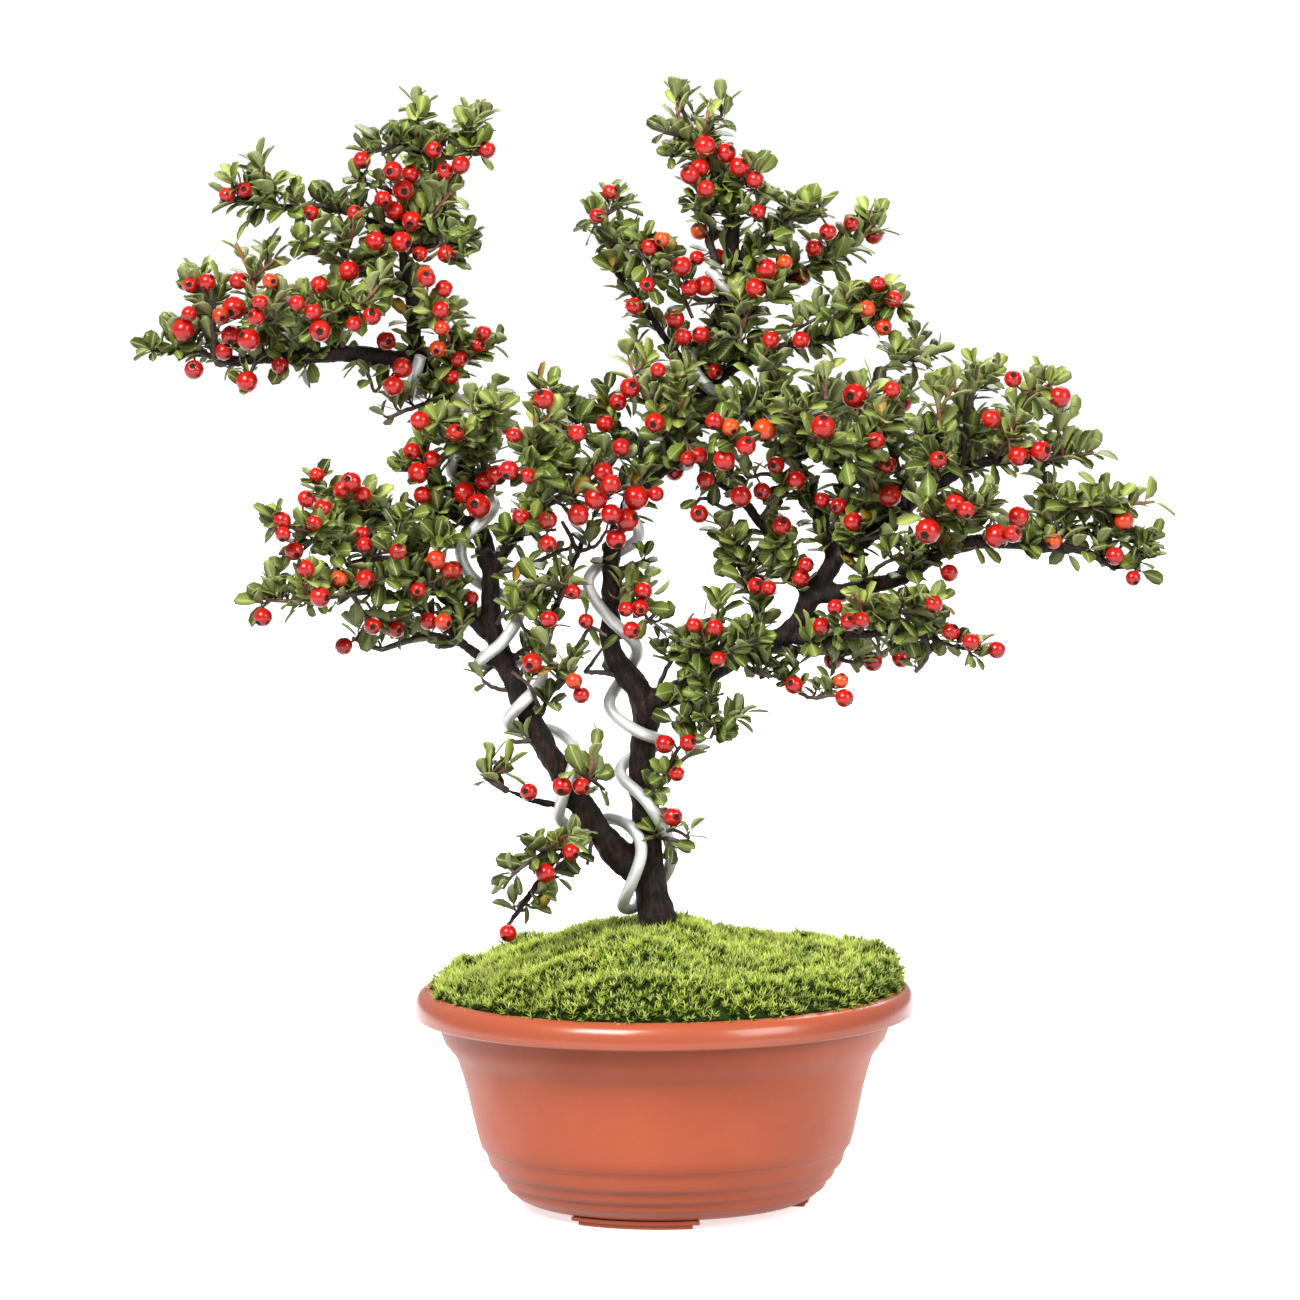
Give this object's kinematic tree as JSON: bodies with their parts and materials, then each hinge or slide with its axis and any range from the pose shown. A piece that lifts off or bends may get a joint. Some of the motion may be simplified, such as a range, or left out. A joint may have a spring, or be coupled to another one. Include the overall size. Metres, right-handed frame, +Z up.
{
  "type": "potted cotoneaster bonsai tree",
  "caption": "Small trained bonsai tree with a forked trunk, small oval leaves and red berries, wired, in moss in a round footed plastic pot.",
  "frame": {"origin": "on the axis of the pot, at the level of the undersides of its feet", "axes": "+Z up, -Y towards the viewer of the tree's front, +X to that viewer's right"},
  "size_m": [0.4036, 0.19, 0.432],
  "materials": {
    "pot": "satin moulded plastic with a glossy rolled rim",
    "soil": "dark crumbly soil",
    "moss": "soft upright moss",
    "bark": "rough dark bark",
    "wire": "satin drawn wire",
    "leaf": "small leaves, semi-gloss above and matt below",
    "berry": "smooth glossy berry"
  },
  "bodies": {
    "root": {"pot": "pot", "soil": "soil", "moss": "moss", "wood": "bark", "wire": "wire", "berries_column": "berry", "berries_pad_left": "berry", "berries_pad_right": "berry", "berries_left_tip": "berry", "berries_left_low": "berry", "berries_left_inner": "berry", "berries_clump": "berry", "berries_leader_mid": "berry", "berries_crown": "berry", "berries_leader_top": "berry", "berries_shelf": "berry", "berries_canopy": "berry", "berries_arm": "berry", "berries_right_low": "berry", "spray_column_head": "leaf", "spray_column_side": "leaf", "spray_top_left": "leaf", "spray_left_twig": "leaf", "spray_pad_tip": "leaf", "spray_pad_front": "leaf", "spray_pad_centre": "leaf", "spray_pad_back": "leaf", "spray_fork_right": "leaf", "spray_left_cluster": "leaf", "spray_left_tip": "leaf", "spray_left_long": "leaf", "spray_clump_left": "leaf", "spray_clump_front": "leaf", "spray_clump_top": "leaf", "spray_crown": "leaf", "spray_grey_tip": "leaf", "spray_leader_front": "leaf", "spray_leader_right": "leaf", "spray_upper_right": "leaf", "spray_upper_right_tip": "leaf", "spray_shelf": "leaf", "spray_canopy_left": "leaf", "spray_canopy_front": "leaf", "spray_canopy_mid": "leaf", "spray_canopy_shoot": "leaf", "spray_canopy_right": "leaf", "spray_canopy_tip": "leaf", "spray_arm_tip": "leaf", "spray_arm_front": "leaf", "spray_canopy_back": "leaf", "spray_canopy_far": "leaf", "spray_upright_twig": "leaf", "spray_right_low": "leaf", "spray_limb_top": "leaf", "spray_limb_under": "leaf", "spray_leader_twig": "leaf", "spray_trunk_left": "leaf", "spray_trunk_middle": "leaf", "spray_trunk_low": "leaf", "spray_grey_fork": "leaf"}
  },
  "joints": []
}
